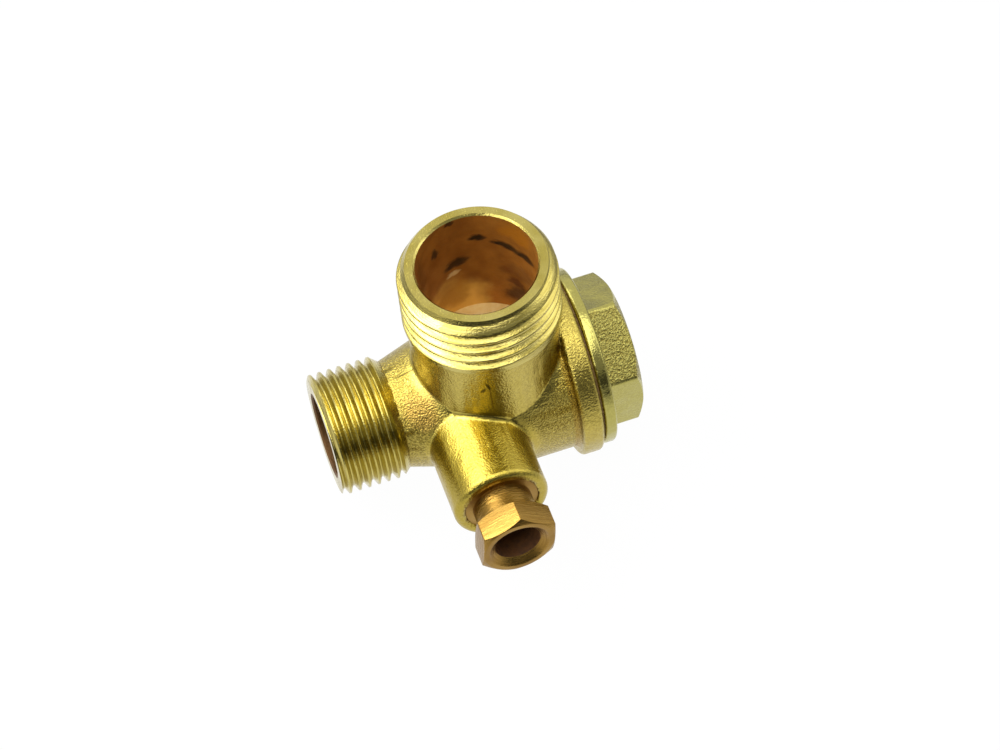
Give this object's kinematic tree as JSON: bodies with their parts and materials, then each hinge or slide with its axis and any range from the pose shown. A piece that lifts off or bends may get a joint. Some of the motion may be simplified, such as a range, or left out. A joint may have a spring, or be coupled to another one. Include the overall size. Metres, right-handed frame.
{
  "type": "non-return valve",
  "caption": "Cast brass angle check valve with threaded inlet and outlet, a side gland for a relief tube, and a hexagon cap over its sprung poppet.",
  "frame": {"origin": "on the outlet's axis, at the shoulder where the outlet thread starts", "axes": "+Z along the outlet, pointing out of the valve; the inlet points along -X, the cap along +X and the gland along -Y"},
  "size_m": [0.0419, 0.0388, 0.0392],
  "materials": {
    "cast_brass": "grit-blasted casting with machined threads",
    "cap_brass": "grit-blasted forging",
    "gasket_fibre": "dark fibre-rubber sheet",
    "poppet_brass": "turned",
    "seal_rubber": "moulded",
    "spring_steel": "drawn wire",
    "nut_bronze": "turned from drawn hexagon bar",
    "ferrule_brass": "turned"
  },
  "bodies": {
    "body": {"valve_body": "cast_brass", "valve_cap": "cap_brass", "cap_gasket": "gasket_fibre", "poppet_spring": "spring_steel"},
    "poppet": {"poppet": "poppet_brass", "poppet_seal": "seal_rubber"},
    "ferrule": {"gland_ferrule": "ferrule_brass"},
    "nut": {"gland_nut": "nut_bronze"}
  },
  "joints": [
    {"name": "poppet_lift", "type": "slide", "parent": "body", "child": "poppet", "axis": [1, 0, 0], "range_m": [0, 0.004], "stiffness_N_per_m": 200, "springref_m": -0.004, "deforming": ["poppet_spring"]},
    {"name": "ferrule_push", "type": "slide", "parent": "body", "child": "ferrule", "axis": [0, 1, 0], "range_m": [0, 0.00125]},
    {"name": "nut_turn", "type": "hinge", "parent": "ferrule", "child": "nut", "pos_m": [-0.0047, -0.02, -0.0167], "axis": [0, 1, 0], "range_deg": [0, 450]}
  ],
  "couplings": [
    {"joint": "nut_turn", "follows": "ferrule_push", "rad_per_m": 6283.2}
  ]
}
